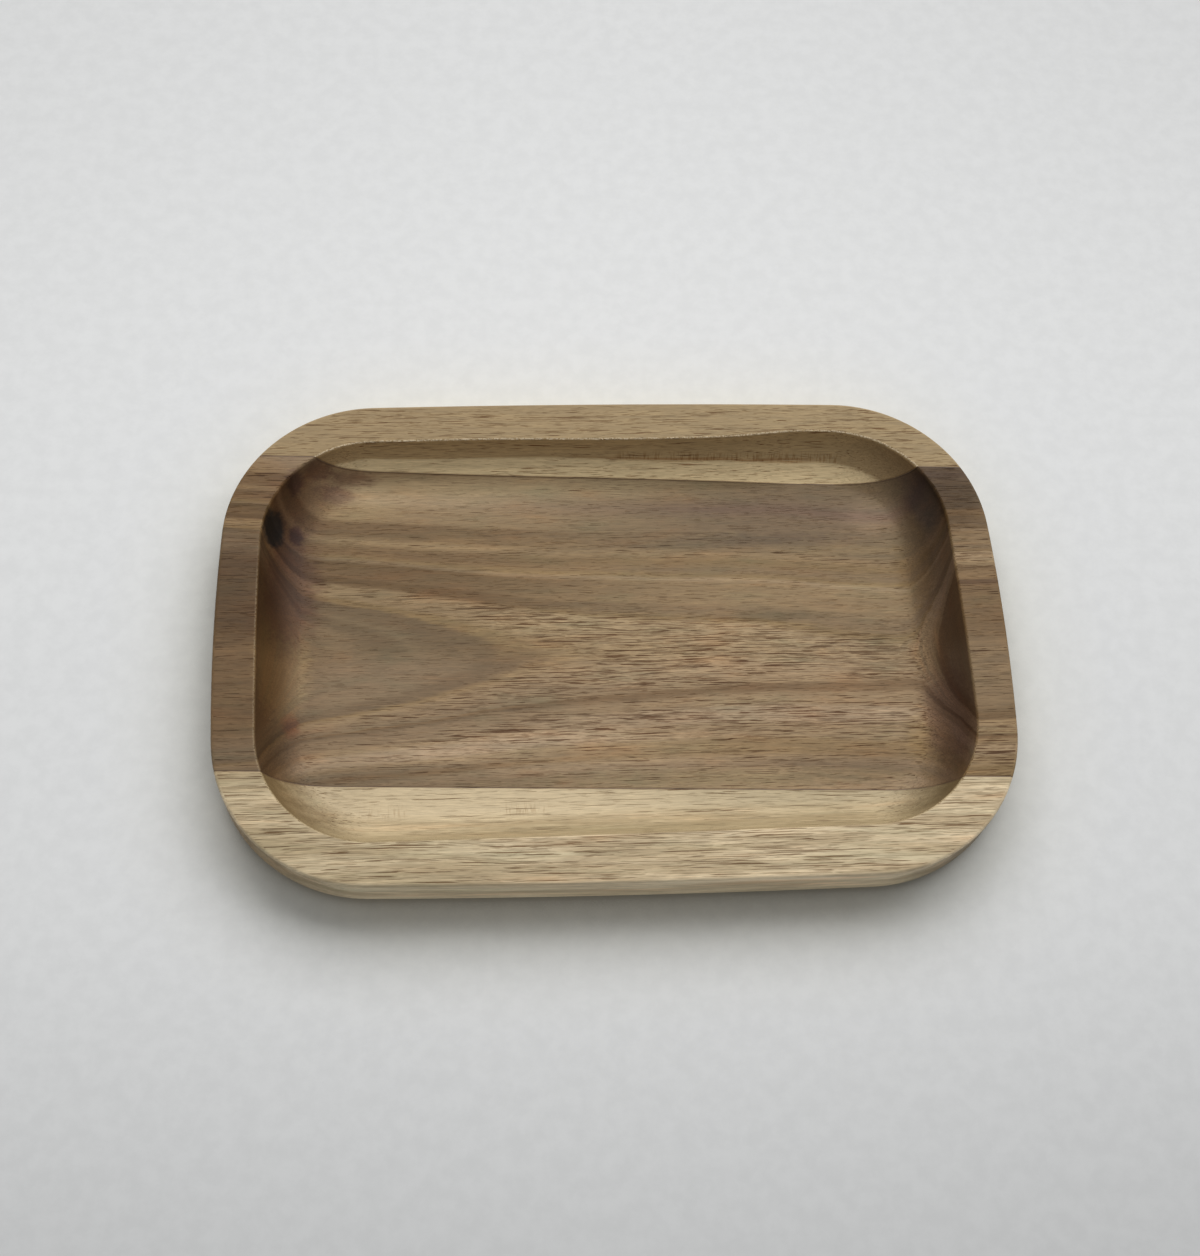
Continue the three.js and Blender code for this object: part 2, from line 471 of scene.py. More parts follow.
def routed_panel_tree(sizes):
    """A tree whose named inputs are the sizes, and which turns two paths into the skin of the panel."""
    tree = bpy.data.node_groups.new("Routed panel", "GeometryNodeTree")
    group_socket(tree, "Paths", "Geometry")
    for name, value in sizes.items():
        group_socket(tree, name, "Vector" if isinstance(value, Vector) else "Float")
    group_socket(tree, "Wood", "Material")
    group_socket(tree, "Panel", "Geometry", way="OUTPUT")
    given = add(tree, "NodeGroupInput").outputs

    # The first path is the outside and the second one the recess
    first = calc(tree, "LESS_THAN", add(tree, "GeometryNodeInputIndex").outputs[0], 0.5)
    paths = add(tree, "GeometryNodeSeparateGeometry", {
        "Geometry": given["Paths"],
        "Selection": first,
    }, domain="CURVE")

    walls = joined(
        tree,
        swept(tree, paths.outputs["Selection"], outside_profile(tree, given)),
        swept(tree, paths.outputs["Inverted"], recess_profile(tree, given)),
    )
    walls = welded(tree, walls)

    # The walls end in four loops, which bound the rim, the floor of the recess and the base
    faces_beside = add(tree, "GeometryNodeInputMeshEdgeNeighbors").outputs["Face Count"]
    open_edge = calc(tree, "LESS_THAN", faces_beside, 1.5)
    loops = add(tree, "GeometryNodeMeshToCurve", {"Mesh": walls, "Selection": open_edge}).outputs[0]
    flats = [filled_flat(tree, loops, height) for height in (0, FLOOR_THICKNESS, TRAY_HEIGHT)]

    panel = welded(tree, joined(tree, walls, *flats))

    # Where the surface turns to face along the grain, the cutter crossed the fibres
    facing = add(tree, "GeometryNodeInputNormal").outputs[0]
    lengthwise = axes(tree, facing)["X"]
    panel = marked(tree, panel, "end_grain", calc(tree, "ABSOLUTE", lengthwise))
    panel = torn_lip(tree, panel, given)
    panel = add(tree, "GeometryNodeSetShadeSmooth", {"Geometry": panel}).outputs[0]
    panel = add(tree, "GeometryNodeRealizeInstances", {"Geometry": panel}).outputs[0]
    panel = add(tree, "GeometryNodeSetMaterial", {"Geometry": panel, "Material": given["Wood"]}).outputs[0]
    add(tree, "NodeGroupOutput", {"Panel": panel})
    return tree


def torn_fibres():
    """How the fibres of the lip are torn."""
    return {
        "Tear Reach": TEAR_REACH,
        "Tear Length": TEAR_LENGTH,
        "Tear Begins": TEAR_BEGINS,
        "Tear Full": TEAR_FULL,
        "Tear Seed": float(TEAR_SEED),
    }


def routed_panel(wood):
    """The mesh of the whole glued-up panel, as it came from the cutter."""
    sizes = {**outside_section(), **recess_section(), **torn_fibres()}
    blank = path_object("panel_paths", outside_path(), recess_path())
    tree = routed_panel_tree(sizes)
    modifier = blank.modifiers.new("Routed panel", "NODES")
    modifier.node_group = tree
    for socket in tree.interface.items_tree:
        if socket.in_out == "INPUT" and socket.name in sizes:
            modifier[socket.identifier] = sizes[socket.name]
        elif socket.in_out == "INPUT" and socket.name == "Wood":
            modifier[socket.identifier] = wood
    evaluated = blank.evaluated_get(bpy.context.evaluated_depsgraph_get())
    mesh = bpy.data.meshes.new_from_object(evaluated)
    bpy.data.objects.remove(blank)
    return mesh


# Sawing the panel along its joints

def joint_line(film):
    """A point on a glue joint and the level direction across it, to the rear, from the film's box."""
    low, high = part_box(film)
    along = Vector((high.x - low.x, low.y - high.y + GLUE_THICKNESS, 0)).normalized()
    return (low + high) / 2, Vector((-along.y, along.x, 0))


REAR_JOINT, REARWARDS = joint_line("rear_glue_line")
FRONT_JOINT, _ = joint_line("front_glue_line")


def sawn_piece(name, panel, cuts, wood):
    """The part of the panel that lies behind every cut, each a point and the direction that is kept."""
    work = bmesh.new()
    work.from_mesh(panel)
    bmesh.ops.recalc_face_normals(work, faces=work.faces)
    for point, keep in cuts:
        everything = work.verts[:] + work.edges[:] + work.faces[:]
        bmesh.ops.bisect_plane(work, geom=everything, plane_co=point, plane_no=keep, clear_inner=True)
        rim = [edge for edge in work.edges if edge.is_boundary]
        bmesh.ops.holes_fill(work, edges=rim, sides=0)
        for edge in rim:
            edge.smooth = False
    mesh = bpy.data.meshes.new(name)
    work.to_mesh(mesh)
    work.free()
    mesh.materials.clear()
    mesh.materials.append(wood)
    piece = bpy.data.objects.new(name, mesh)
    bpy.context.scene.collection.objects.link(piece)
    return piece


def finished(piece, node):
    """A finished piece that stands for a node: it rides on the root body and the node's own mesh is hidden.
    """
    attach(piece, "root")
    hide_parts(node)


# Finishes

# Heartwood tones, from dark to pale
LATEWOOD = (0.145, 0.085, 0.034)
OLIVE = (0.172, 0.113, 0.057)
BROWN = (0.185, 0.112, 0.05)
MAUVE = (0.178, 0.113, 0.066)
RUSSET = (0.205, 0.122, 0.053)
ASH = (0.208, 0.142, 0.074)
DUN = (0.232, 0.154, 0.08)
GOLD = (0.245, 0.158, 0.07)
HEART = (0.285, 0.19, 0.096)
PALE = (0.318, 0.215, 0.113)
BLOND = (0.348, 0.242, 0.136)

# Sapwood tones
TAN = (0.335, 0.234, 0.119)
TAN_AT_RIGHT = (0.335, 0.238, 0.122)
STRAW = (0.46, 0.35, 0.205)
IVORY_AT_RIGHT = (0.5, 0.4, 0.245)
CREAM = (0.57, 0.45, 0.28)
IVORY = (0.64, 0.51, 0.32)
REAR_IVORY = (0.71, 0.545, 0.31)
# Torn fibres of the lip, made paler still as a painted highlight
TORN_FIBRE_HIGHLIGHT = (0.74, 0.6, 0.41)

# Oiled surface of every stave
WOOD_ROUGHNESS = 0.5
STREAK_ROUGHNESS = 0.05
PORE_ROUGHNESS = 0.2
WOOD_SPECULAR = 0.2
FIBRE_SHADE = 0.22
FIBRE_HEIGHT = 0.15
PORE_DEPTH = 0.1 * MM
BUMP_STRENGTH = 0.6
JOINT_STAIN_AND_SHADE_TINT = (0.55, 0.47, 0.4)

# Levels in millimetres above the underside, and where along the tray the left half passes to the right
FLOOR = FLOOR_THICKNESS / MM
RIM = TRAY_HEIGHT / MM
LEFT_TO_RIGHT = (-40, 40)


def shader_group(name, inputs, outputs):
    """A new shader node group, with its named inputs and outputs, and its input sockets."""
    tree = bpy.data.node_groups.new(name, "ShaderNodeTree")
    for socket, (kind, value) in inputs.items():
        group_socket(tree, socket, kind, value)
    for socket, kind in outputs.items():
        group_socket(tree, socket, kind, way="OUTPUT")
    return tree, add(tree, "NodeGroupInput").outputs


def placed(tree, group, **values):
    """A shared group placed in a material with its own values, by input names with spaces as underlines."""
    sockets = {name.replace("_", " "): value for name, value in values.items()}
    return add(tree, "ShaderNodeGroup", sockets, node_tree=group).outputs


def noise(tree, place, length, width, detail=2, roughness=0.5):
    """Cloudy values round one half, with clouds of a length along the grain and a width across it."""
    stretched = vector_calc(tree, "DIVIDE", place, (length, width, width))
    return add(tree, "ShaderNodeTexNoise", {
        "Vector": stretched,
        "Scale": 1,
        "Detail": detail,
        "Roughness": roughness,
    }).outputs


def between(tree, value, low, high):
    """How far a value lies between two others, from 0 to 1, with soft ends."""
    return add(tree, "ShaderNodeMapRange", {
        "Value": value,
        "From Min": low,
        "From Max": high,
    }, interpolation_type="SMOOTHSTEP").outputs[0]


def within(tree, value, rise, fall):
    """Whether a value lies in a band, from 0 to 1, between where it comes up and where it goes down."""
    return product(tree, between(tree, value, *rise), between(tree, value, *fall))


def centred(tree, value, reach):
    """A cloudy value moved to lie round zero and given a reach."""
    return product(tree, calc(tree, "SUBTRACT", value, 0.5), reach)


def mark(tree, name):
    """A mark that the panel carries on its points."""
    return add(tree, "ShaderNodeAttribute", attribute_name=name).outputs["Fac"]


def mixed(tree, share, first, second, how="MIX"):
    """Two colours mixed by a share."""
    node = add(tree, "ShaderNodeMix", {0: share}, data_type="RGBA", blend_type=how)
    wire(tree, node.inputs[6], first if isinstance(first, bpy.types.NodeSocket) else (*first, 1))
    wire(tree, node.inputs[7], second if isinstance(second, bpy.types.NodeSocket) else (*second, 1))
    return node.outputs[2]


def tinted(tree, share, colour, tint):
    """A colour multiplied by a tint, as far as the share says."""
    return mixed(tree, share, colour, tint, "MULTIPLY")


def shaded(tree, colour, value, amount):
    """A colour made lighter or darker by a value from -1 to 1."""
    factor = calc(tree, "MULTIPLY_ADD", value, amount, 1)
    return mixed(tree, 1, colour, vector(tree, factor, factor, factor), "MULTIPLY")


def board_place_group():
    """Millimetres along, across and up the board: the bare spot, and the place with the grain's wander."""
    tree, given = shader_group("Board place", {
        "Wander": ("Float", 1.5),
        "Ripple": ("Float", 0.5),
        "Board": ("Float", 0),
    }, {"Spot": "Vector", "Place": "Vector"})
    metres = add(tree, "ShaderNodeTexCoord").outputs["Object"]
    spot = add(tree, "ShaderNodeVectorMath", {0: metres, "Scale": 1 / MM}, operation="SCALE").outputs[0]
    apart = vector_calc(tree, "ADD", spot, vector(tree, given["Board"], 0, given["Board"]))
    place = spot
    for reach, length, width in ((given["Wander"], 80, 24), (given["Ripple"], 13, 4)):
        cloud = noise(tree, apart, length, width)["Color"]
        drift = vector_calc(tree, "SUBTRACT", cloud, (0.5, 0.5, 0.5))
        drift = vector_calc(tree, "MULTIPLY", drift, vector(tree, 0, reach, reach))
        place = vector_calc(tree, "ADD", place, drift)
    add(tree, "NodeGroupOutput", {"Spot": spot, "Place": place})
    return tree


def growth_rings_group():
    """Distance from the pith, less its depth, so that 0 lies on the floor below the pith.

    Layers is the place with its width laid out by layer, so that fibres fan out up the end coves.
    """
    tree, given = shader_group("Growth rings", {
        "Place": ("Vector", None),
        "Pith Across": ("Float", -2.3),
        "Pith Drift": ("Float", 3.2),
        "Pith Depth": ("Float", 50),
        "Lean Left": ("Float", 7),
        "Lean Right": ("Float", 1.5),
        "Bend Place": ("Float", -27),
        "Bend Reach": ("Float", 15),
        "Rise": ("Float", -0.85),
        "Wobble": ("Float", 0.7),
        "Feather": ("Float", 0.6),
    }, {"Ring": "Float", "Side": "Float", "Layers": "Vector"})
    place = axes(tree, given["Place"])
    height = calc(tree, "SUBTRACT", place["Z"], FLOOR)
    height = calc(tree, "MAXIMUM", height, 0)

    # The trunk tapers, more on one side of the bend than on the other
    run = calc(tree, "SUBTRACT", place["X"], given["Bend Place"])
    bend = product(tree, given["Bend Reach"], given["Bend Reach"])
    softened = calc(tree, "SQRT", calc(tree, "MULTIPLY_ADD", run, run, bend))
    mean_lean = product(tree, calc(tree, "ADD", given["Lean Right"], given["Lean Left"]), 0.5)
    half_lean = product(tree, calc(tree, "SUBTRACT", given["Lean Right"], given["Lean Left"]), 0.5)
    taper = calc(tree, "MULTIPLY_ADD", run, mean_lean, product(tree, softened, half_lean))

    # The pith lies above the board, so the rings open upwards
    across = calc(tree, "SUBTRACT", place["Y"], given["Pith Across"])
    across = calc(tree, "MULTIPLY_ADD", between(tree, place["X"], 40, 105), given["Pith Drift"], across)
    up = calc(tree, "MULTIPLY_ADD", height, given["Rise"], given["Pith Depth"])
    depth = product(tree, given["Pith Depth"], given["Pith Depth"])
    opened = calc(tree, "MULTIPLY_ADD", up, up, product(tree, across, across))
    square = calc(tree, "MAXIMUM", calc(tree, "ADD", opened, taper), 0)
    ring = calc(tree, "SUBTRACT", calc(tree, "SQRT", square), given["Pith Depth"])

    cloud = noise(tree, given["Place"], 34, 9, detail=3)[0]
    fibres = noise(tree, given["Place"], 16, 0.9, detail=3, roughness=0.6)[0]
    ring = calc(tree, "ADD", ring, centred(tree, cloud, given["Wobble"]))
    ring = calc(tree, "ADD", ring, centred(tree, fibres, given["Feather"]))

    spread = calc(tree, "SUBTRACT", opened, depth)
    root = calc(tree, "SQRT", calc(tree, "ADD", calc(tree, "ABSOLUTE", spread), 4))
    layer = calc(tree, "DIVIDE", spread, root)
    apart = calc(tree, "MULTIPLY_ADD", across, 0.2, place["Z"])
    layers = vector(tree, place["X"], layer, apart)
    add(tree, "NodeGroupOutput", {"Ring": ring, "Side": across, "Layers": layers})
    return tree


def vessel_lines_group():
    """The open pores of the wood, as fine dark lines along the grain, and the pale fibres between them."""
    tree, given = shader_group("Vessel lines", {
        "Place": ("Vector", None),
        "Length": ("Float", 12),
        "Width": ("Float", 0.5),
        "Amount": ("Float", 0.5),
    }, {"Pore": "Float", "Fibre": "Float"})

    # Long thin tracks, broken up along the grain
    lines = 0
    for lengths, widths, share in ((3, 1, 0.55), (1, 1.5, 0.45)):
        width = product(tree, given["Width"], widths)
        line = vector(tree, product(tree, given["Length"], lengths), width, width)
        cloud = noise(tree, vector_calc(tree, "DIVIDE", given["Place"], line), 1, 1, detail=1)[0]
        lines = calc(tree, "MULTIPLY_ADD", cloud, share, lines)
    drifts = noise(tree, given["Place"], 26, 2.6, detail=1)[0]
    likely = calc(tree, "ADD", given["Amount"], centred(tree, drifts, 0.7))
    edge = calc(tree, "MULTIPLY_ADD", likely, -0.17, 0.71)
    pore = between(tree, lines, edge, calc(tree, "ADD", edge, 0.04))
    fibre = between(tree, lines, 0.46, 0.34)
    add(tree, "NodeGroupOutput", {"Pore": pore, "Fibre": product(tree, fibre, likely)})
    return tree


def fibre_streaks_group():
    """Long fine streaks of lighter and darker fibres, from -1 to 1."""
    tree, given = shader_group("Fibre streaks", {
        "Place": ("Vector", None),
        "Length": ("Float", 40),
        "Width": ("Float", 1.2),
    }, {"Streak": "Float"})
    fibre = vector(tree, given["Length"], given["Width"], given["Width"])
    stretched = vector_calc(tree, "DIVIDE", given["Place"], fibre)
    cloud = noise(tree, stretched, 1, 1, detail=4, roughness=0.6)[0]
    add(tree, "NodeGroupOutput", {"Streak": centred(tree, cloud, 4)})
    return tree


def stain_patch_group():
    """An oval stain or knot with a ragged edge."""
    tree, given = shader_group("Stain patch", {
        "Spot": ("Vector", None),
        "Cloud": ("Float", 0.5),
        "Centre": ("Vector", (0, 0, 0)),
        "Reach": ("Vector", (1, 1, 1)),
        "Softness": ("Float", 0.5),
    }, {"Mask": "Float"})
    offset = vector_calc(tree, "SUBTRACT", given["Spot"], given["Centre"])
    offset = vector_calc(tree, "DIVIDE", offset, given["Reach"])
    away = add(tree, "ShaderNodeVectorMath", {0: offset}, operation="LENGTH").outputs["Value"]
    ragged = centred(tree, given["Cloud"], product(tree, given["Softness"], 2.5))
    away = calc(tree, "ADD", away, ragged)
    near = calc(tree, "SUBTRACT", 1, given["Softness"])
    far = calc(tree, "ADD", 1, given["Softness"])
    add(tree, "NodeGroupOutput", {"Mask": between(tree, away, far, near)})
    return tree


def joint_stain_and_shade_group():
    """The dark line beside a joint: glue soaked into the wood, and painted shade along the seam."""
    tree, given = shader_group("Joint stain and shade", {
        "Spot": ("Vector", None),
        "Reach": ("Float", 0.5),
    }, {"Mask": "Float"})
    distances = []
    for joint in (REAR_JOINT, FRONT_JOINT):
        offset = vector_calc(tree, "SUBTRACT", given["Spot"], joint / MM)
        across = add(tree, "ShaderNodeVectorMath", {0: offset, 1: REARWARDS}, operation="DOT_PRODUCT")
        distances.append(calc(tree, "ABSOLUTE", across.outputs["Value"]))
    nearest = calc(tree, "MINIMUM", *distances)
    cloud = noise(tree, given["Spot"], 12, 2, detail=3)[0]
    reach = product(tree, given["Reach"], calc(tree, "ADD", cloud, 0.5))
    add(tree, "NodeGroupOutput", {"Mask": between(tree, nearest, reach, 0)})
    return tree


def worn_edge_and_lip_highlight_group():
    """Where handling has rubbed the rim, and where the cutter has torn the lip and a painted highlight
    lightens it where its rounded edge catches the light, broken up along them.
    """
    tree, given = shader_group("Worn edge and lip highlight", {
        "Spot": ("Vector", None),
        "Rim": ("Float", 0.2),
        "Lip": ("Float", 0.5),
    }, {"Mask": "Float"})
    cloud = noise(tree, given["Spot"], 2, 2, detail=4, roughness=0.7)[0]
    ticks = noise(tree, given["Spot"], 0.5, 0.5, detail=2)[0]
    rim = product(tree, mark(tree, "worn"), between(tree, cloud, 0.3, 0.65), given["Rim"])
    lip = product(tree, mark(tree, "lip"), between(tree, ticks, 0.36, 0.6), given["Lip"])
    add(tree, "NodeGroupOutput", {"Mask": calc(tree, "MAXIMUM", rim, lip)})
    return tree


def cut_end_grain_group():
    """Where the surface cuts across the fibres below the rim and drinks in more oil."""
    tree, given = shader_group("Cut end grain", {
        "Spot": ("Vector", None),
        "Start": ("Float", 0.02),
        "End": ("Float", 0.78),
    }, {"Mask": "Float"})
    cloud = noise(tree, given["Spot"], 9, 4, detail=3)[0]
    facing = calc(tree, "ADD", mark(tree, "end_grain"), centred(tree, cloud, 0.12))
    below_rim = between(tree, axes(tree, given["Spot"])["Z"], 18.5, 17.7)
    mask = product(tree, between(tree, facing, given["Start"], given["End"]), below_rim)
    add(tree, "NodeGroupOutput", {"Mask": mask})
    return tree


def cutter_marks_group():
    """Short ticks that the cutter left across a band of the wall, where it stood for a moment."""
    tree, given = shader_group("Cutter marks", {
        "Spot": ("Vector", None),
        "Band": ("Float", 1),
        "Start": ("Float", -80),
        "End": ("Float", -68),
    }, {"Mask": "Float"})
    along = axes(tree, given["Spot"])["X"]
    begun = between(tree, along, given["Start"], calc(tree, "ADD", given["Start"], 4))
    ended = between(tree, along, given["End"], calc(tree, "SUBTRACT", given["End"], 4))
    ticks = noise(tree, given["Spot"], 0.5, 4, detail=1)[0]
    mask = product(tree, given["Band"], begun, ended, between(tree, ticks, 0.5, 0.62))
    add(tree, "NodeGroupOutput", {"Mask": mask})
    return tree


BOARD_PLACE = board_place_group()
GROWTH_RINGS = growth_rings_group()
VESSEL_LINES = vessel_lines_group()
FIBRE_STREAKS = fibre_streaks_group()
STAIN_PATCH = stain_patch_group()
JOINT_STAIN_AND_SHADE = joint_stain_and_shade_group()
WORN_EDGE_AND_LIP_HIGHLIGHT = worn_edge_and_lip_highlight_group()
CUT_END_GRAIN = cut_end_grain_group()
CUTTER_MARKS = cutter_marks_group()


def new_material(name):
    material = bpy.data.materials.new(name)
    material.use_nodes = True
    return material, material.node_tree, material.node_tree.nodes["Principled BSDF"]


def streaks(tree, place, length, width):
    """Streaks of lighter and darker fibres of a length and a width in millimetres."""
    return placed(tree, FIBRE_STREAKS, Place=place, Length=length, Width=width)["Streak"]


def pore_lines(tree, place, long_line, short_line, short_share, amount, short_amount):
    """Pores in long and in fainter short lines, each a length and a width, and the fibre between them."""
    pores, fibre = placed(
        tree, VESSEL_LINES, Place=place, Length=long_line[0], Width=long_line[1], Amount=amount)
    short, _ = placed(
        tree, VESSEL_LINES, Place=place, Length=short_line[0], Width=short_line[1], Amount=short_amount)
    return calc(tree, "MAXIMUM", pores, product(tree, short, short_share)), fibre


def finish_stave(tree, shader, grain, colour, pores, streak, *, rim_wear, lip_tear_and_highlight, pore_tone, cut_tone,
                 worn_and_highlight_tone=CREAM):
    """Pores, cut ends, joint lines with painted shade, worn edges with a painted highlight on the lip, gloss
    and surface height, the same way on every stave.
    """
    spot = grain["Spot"]
    cut = placed(tree, CUT_END_GRAIN, Spot=spot)["Mask"]
    for edge in (cut, mark(tree, "outside"), mark(tree, "worn")):
        pores = product(tree, pores, calc(tree, "SUBTRACT", 1, edge))
    colour = shaded(tree, colour, streaks(tree, grain["Place"], 5, 0.3), FIBRE_SHADE)
    colour = tinted(tree, cut, colour, cut_tone)
    colour = tinted(tree, pores, colour, pore_tone)
    # Glue soaked in beside the joints, and painted shade along the seam
    colour = tinted(tree, placed(tree, JOINT_STAIN_AND_SHADE, Spot=spot)["Mask"], colour, JOINT_STAIN_AND_SHADE_TINT)
    # Rubbed rim, and the lip's torn fibres with a painted highlight where its rounded edge catches the light
    worn = placed(tree, WORN_EDGE_AND_LIP_HIGHLIGHT, Spot=spot, Rim=rim_wear, Lip=lip_tear_and_highlight)["Mask"]
    colour = mixed(tree, worn, colour, worn_and_highlight_tone)
    wire(tree, shader.inputs["Base Color"], colour)

    roughness = calc(tree, "MULTIPLY_ADD", streak, STREAK_ROUGHNESS, WOOD_ROUGHNESS)
    roughness = calc(tree, "MULTIPLY_ADD", pores, PORE_ROUGHNESS, roughness)
    wire(tree, shader.inputs["Roughness"], roughness)
    shader.inputs["Specular IOR Level"].default_value = WOOD_SPECULAR

    height = calc(tree, "SUBTRACT", product(tree, streak, FIBRE_HEIGHT), pores)
    bump = add(tree, "ShaderNodeBump", {"Height": height, "Strength": BUMP_STRENGTH, "Distance": PORE_DEPTH})
    wire(tree, shader.inputs["Normal"], bump.outputs[0])


# Where the cutter stood for a moment on its way along the front and the rear, in millimetres along the tray
FRONT_STOPS = [(-82, -64), (-38, -20)]
REAR_STOP = (2, 82)

# Rings of the centre board on each side of the pith, from the pith outwards:
# the ring in millimetres, its tone at the left and at the right end, and how many pores it has
REAR_RINGS = [
    (-20, LATEWOOD, BROWN, 0.1), (-9, LATEWOOD, BROWN, 0.1), (-4.2, DUN, BROWN, 0.1),
    (-3.5, OLIVE, BROWN, 0.1), (-3, OLIVE, BROWN, 0.1), (-2.7, ASH, BROWN, 0.15),
    (-2.1, OLIVE, BROWN, 0.15), (-1.1, OLIVE, BROWN, 0.2), (-0.9, GOLD, HEART, 0.5),
    (-0.4, GOLD, HEART, 0.7), (-0.2, HEART, PALE, 0.9), (0.4, HEART, BLOND, 1), (1.7, HEART, BLOND, 1),
    (2.1, BROWN, GOLD, 0.8), (2.4, LATEWOOD, DUN, 0.5), (3.2, LATEWOOD, DUN, 0.3),
    (3.6, BROWN, HEART, 0.3), (6.3, LATEWOOD, HEART, 0.35), (6.8, DUN, BLOND, 0.4), (7.4, GOLD, GOLD, 0.35),
    (8.4, RUSSET, DUN, 0.25), (10.1, BROWN, GOLD, 0.3), (11.6, HEART, HEART, 0.7),
    (13, BROWN, ASH, 0.6), (16.2, BROWN, ASH, 0.4), (17.1, HEART, ASH, 0.3),
    (20, PALE, ASH, 0.25), (22.5, BLOND, MAUVE, 0.25), (25.6, PALE, ASH, 0.25),
    (31, PALE, ASH, 0.2),
]
FRONT_RINGS = [
    (-20, RUSSET, DUN, 0.1), (-8, RUSSET, DUN, 0.1), (-4, DUN, DUN, 0.1), (-3.3, ASH, DUN, 0.1),
    (-2.9, DUN, DUN, 0.12), (-1.4, ASH, BROWN, 0.15), (-1.2, OLIVE, BROWN, 0.2), (-0.4, OLIVE, BROWN, 0.3),
    (-0.1, GOLD, HEART, 0.7), (0.4, HEART, PALE, 0.95), (1.6, DUN, PALE, 1), (2.3, ASH, HEART, 0.8),
    (2.5, BROWN, BROWN, 0.6), (2.9, OLIVE, BROWN, 0.5), (3.4, DUN, HEART, 0.5),
    (4.2, DUN, HEART, 0.85), (4.8, DUN, BLOND, 0.95), (6.2, HEART, BLOND, 0.95), (7, BLOND, HEART, 0.9),
    (8.6, BLOND, HEART, 0.8), (9.6, HEART, GOLD, 0.7), (10.8, ASH, GOLD, 0.7), (11.8, BROWN, GOLD, 0.7),
    (12.8, ASH, HEART, 0.6), (14, DUN, DUN, 0.6), (15.2, ASH, HEART, 0.6), (16.2, ASH, PALE, 0.7),
    (18, ASH, PALE, 0.6), (20, BROWN, HEART, 0.5),
]
RING_LOW = -20
RING_HIGH = 31

# Knots, stains and pale patches of the centre board: centre, reach and softness in millimetres, and tint
CENTRE_PATCHES = [
    ((-108.6, 39.6, 13.2), (3.7, 6.3, 6), 0.3, (0.16, 0.2, 0.32)),
    ((-101.8, 39.8, 7.4), (2.3, 3.4, 3), 0.4, (0.5, 0.4, 0.5)),
    ((-103, 50, 12), (10, 14, 9), 0.6, (0.97, 0.94, 1.03)),
    ((-101.8, 55.4, 15.3), (3, 3.6, 4), 0.5, (0.55, 0.48, 0.6)),
    ((-94.6, 60.8, 14.2), (6, 3, 4), 0.5, (0.65, 0.55, 0.55)),
    ((-89.8, 55, 7.2), (6, 3, 4), 0.6, (0.62, 0.55, 0.6)),
    ((-84.8, 60.3, 9), (8, 2.2, 4), 0.6, (0.65, 0.58, 0.6)),
    ((-84, 50, FLOOR), (14, 4.5, 3), 0.6, (1.12, 1.12, 1.08)),
    ((-103, 21, 9), (9, 20, 10), 0.45, (0.67, 0.54, 0.56)),
    ((-104, -6, 12), (8.5, 19, 14), 0.3, (1.5, 1.58, 1.5)),
    ((-102, -27, 7), (5, 9, 4), 0.5, (0.97, 0.93, 0.86)),
    ((-101.6, -26.3, 7.1), (2.5, 3.5, 3), 0.6, (0.95, 0.7, 0.64)),
    ((50, 37.5, FLOOR), (22, 2.2, 3), 0.7, (0.8, 0.79, 0.82)),
    ((64, 46, FLOOR), (40, 9, 5), 0.5, (0.91, 0.88, 0.92)),
    ((86, 47, 6), (8, 7, 4), 0.5, (1.1, 1.12, 1.16)),
    ((91, 46, 6.5), (9, 6.5, 4), 0.45, (1.26, 1.27, 1.3)),
    ((106, 48, 13), (5, 10, 6), 0.3, (0.8, 0.86, 0.95)),
    ((101, 28, 8), (6, 17, 5), 0.45, (0.83, 0.78, 0.63)),
    ((103, -3, 9), (6, 13, 6), 0.5, (1.02, 0.98, 0.86)),
    ((109, 29, 13), (5, 14, 6), 0.5, (0.84, 0.85, 0.86)),
    ((82, 33.4, FLOOR), (20, 1.8, 3), 0.6, (1.15, 1.15, 1.1)),
    ((44, 23.4, FLOOR), (9, 0.8, 3), 0.6, (1.18, 1.2, 1.2)),
    ((87, 20.2, FLOOR), (11, 0.9, 3), 0.6, (1.18, 1.2, 1.18)),
    ((54, 10, FLOOR), (14, 1.6, 3), 0.7, (0.78, 0.8, 0.78)),
    ((40, -46, FLOOR), (60, 2.6, 3), 0.8, (0.82, 0.86, 0.8)),
    ((80, -43, 6), (26, 6.5, 4), 0.6, (0.82, 0.81, 0.81)),
    ((-82, -43, 6), (17, 6, 4), 0.6, (0.85, 0.86, 0.86)),
    ((-16, -36, FLOOR), (44, 6.5, 3), 0.6, (1.28, 1.32, 1.39)),
    ((20, 2, FLOOR), (45, 9, 3), 0.7, (1.16, 1.17, 1.15)),
    ((-20, 9, FLOOR), (24, 4, 3), 0.6, (1.14, 1.17, 1.19)),
    ((-20, 27.5, FLOOR), (26, 2.5, 3), 0.6, (1.18, 1.17, 1.15)),
    ((-42, 37.2, FLOOR), (48, 2.2, 3), 0.6, (1.2, 1.2, 1.18)),
    ((106, -29, 10), (8, 17, 9), 0.4, (0.75, 0.67, 0.7)),
    ((100, -35, 7), (7, 11, 5), 0.5, (1.06, 1.02, 0.86)),
    ((108, 50, 13), (11, 12, 6), 0.15, (0.94, 0.92, 1)),
    ((112, 44, RIM), (10, 11, 2), 0.5, (0.7, 0.63, 0.5)),
    ((-113, 47, RIM), (12, 15, 2), 0.4, (1.06, 1, 0.86)),
    ((116, 17.5, RIM), (10, 1.6, 2), 0.4, (1.25, 1.28, 1.32)),
    ((117, 14.6, RIM), (10, 0.8, 2), 0.4, (0.66, 0.62, 0.62)),
    ((-117, 15, RIM), (10, 17, 2), 0.15, (0.9, 0.87, 0.86)),
]


